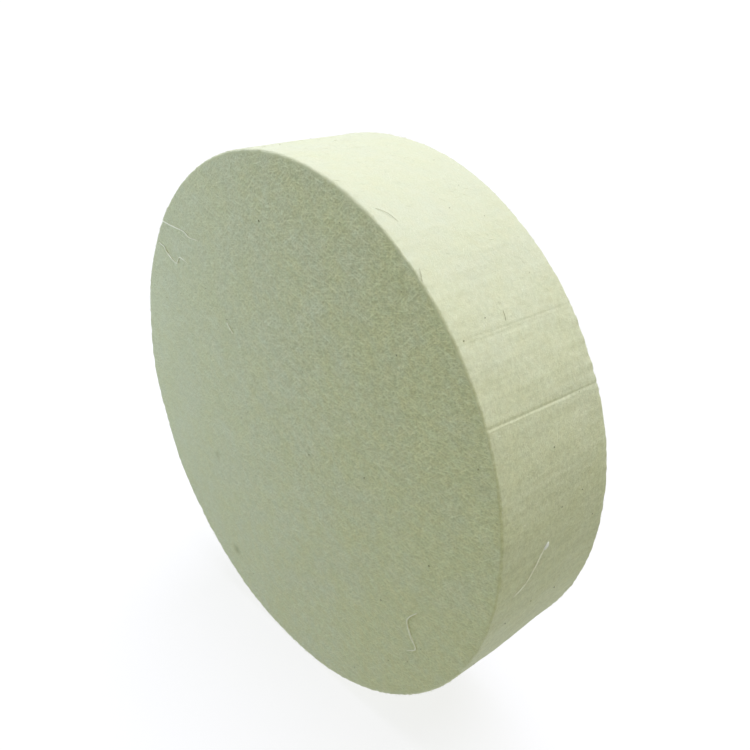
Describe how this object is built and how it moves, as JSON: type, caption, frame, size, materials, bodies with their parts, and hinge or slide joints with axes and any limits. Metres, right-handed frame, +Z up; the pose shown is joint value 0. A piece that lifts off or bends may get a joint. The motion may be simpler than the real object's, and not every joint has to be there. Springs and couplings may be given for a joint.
{
  "type": "felt polishing wheel",
  "caption": "Thick disc of pressed wool felt with a closed polishing face, bonded to a stiff plate with a riveted, threaded hub on its back.",
  "frame": {"origin": "on the wheel's axis, at the hub's end face, which seats on the machine's spindle shoulder", "axes": "the wheel stands on its rim with +Z up and turns about Y; +Y points out of the hub towards the machine, and the closed felt face looks along -Y"},
  "size_m": [0.1, 0.0413, 0.1],
  "materials": {
    "wool_felt": "matte",
    "contact_adhesive": "satin",
    "glass_phenolic": "matte",
    "aluminium_sheet": "satin",
    "turned_aluminium": "satin",
    "rivet_aluminium": "satin"
  },
  "bodies": {
    "root": {"felt_wheel": "wool_felt", "adhesive_film": "contact_adhesive", "backing_plate": "glass_phenolic", "clamp_ring": "aluminium_sheet", "threaded_hub": "turned_aluminium", "hub_rivets": "rivet_aluminium"}
  },
  "joints": []
}
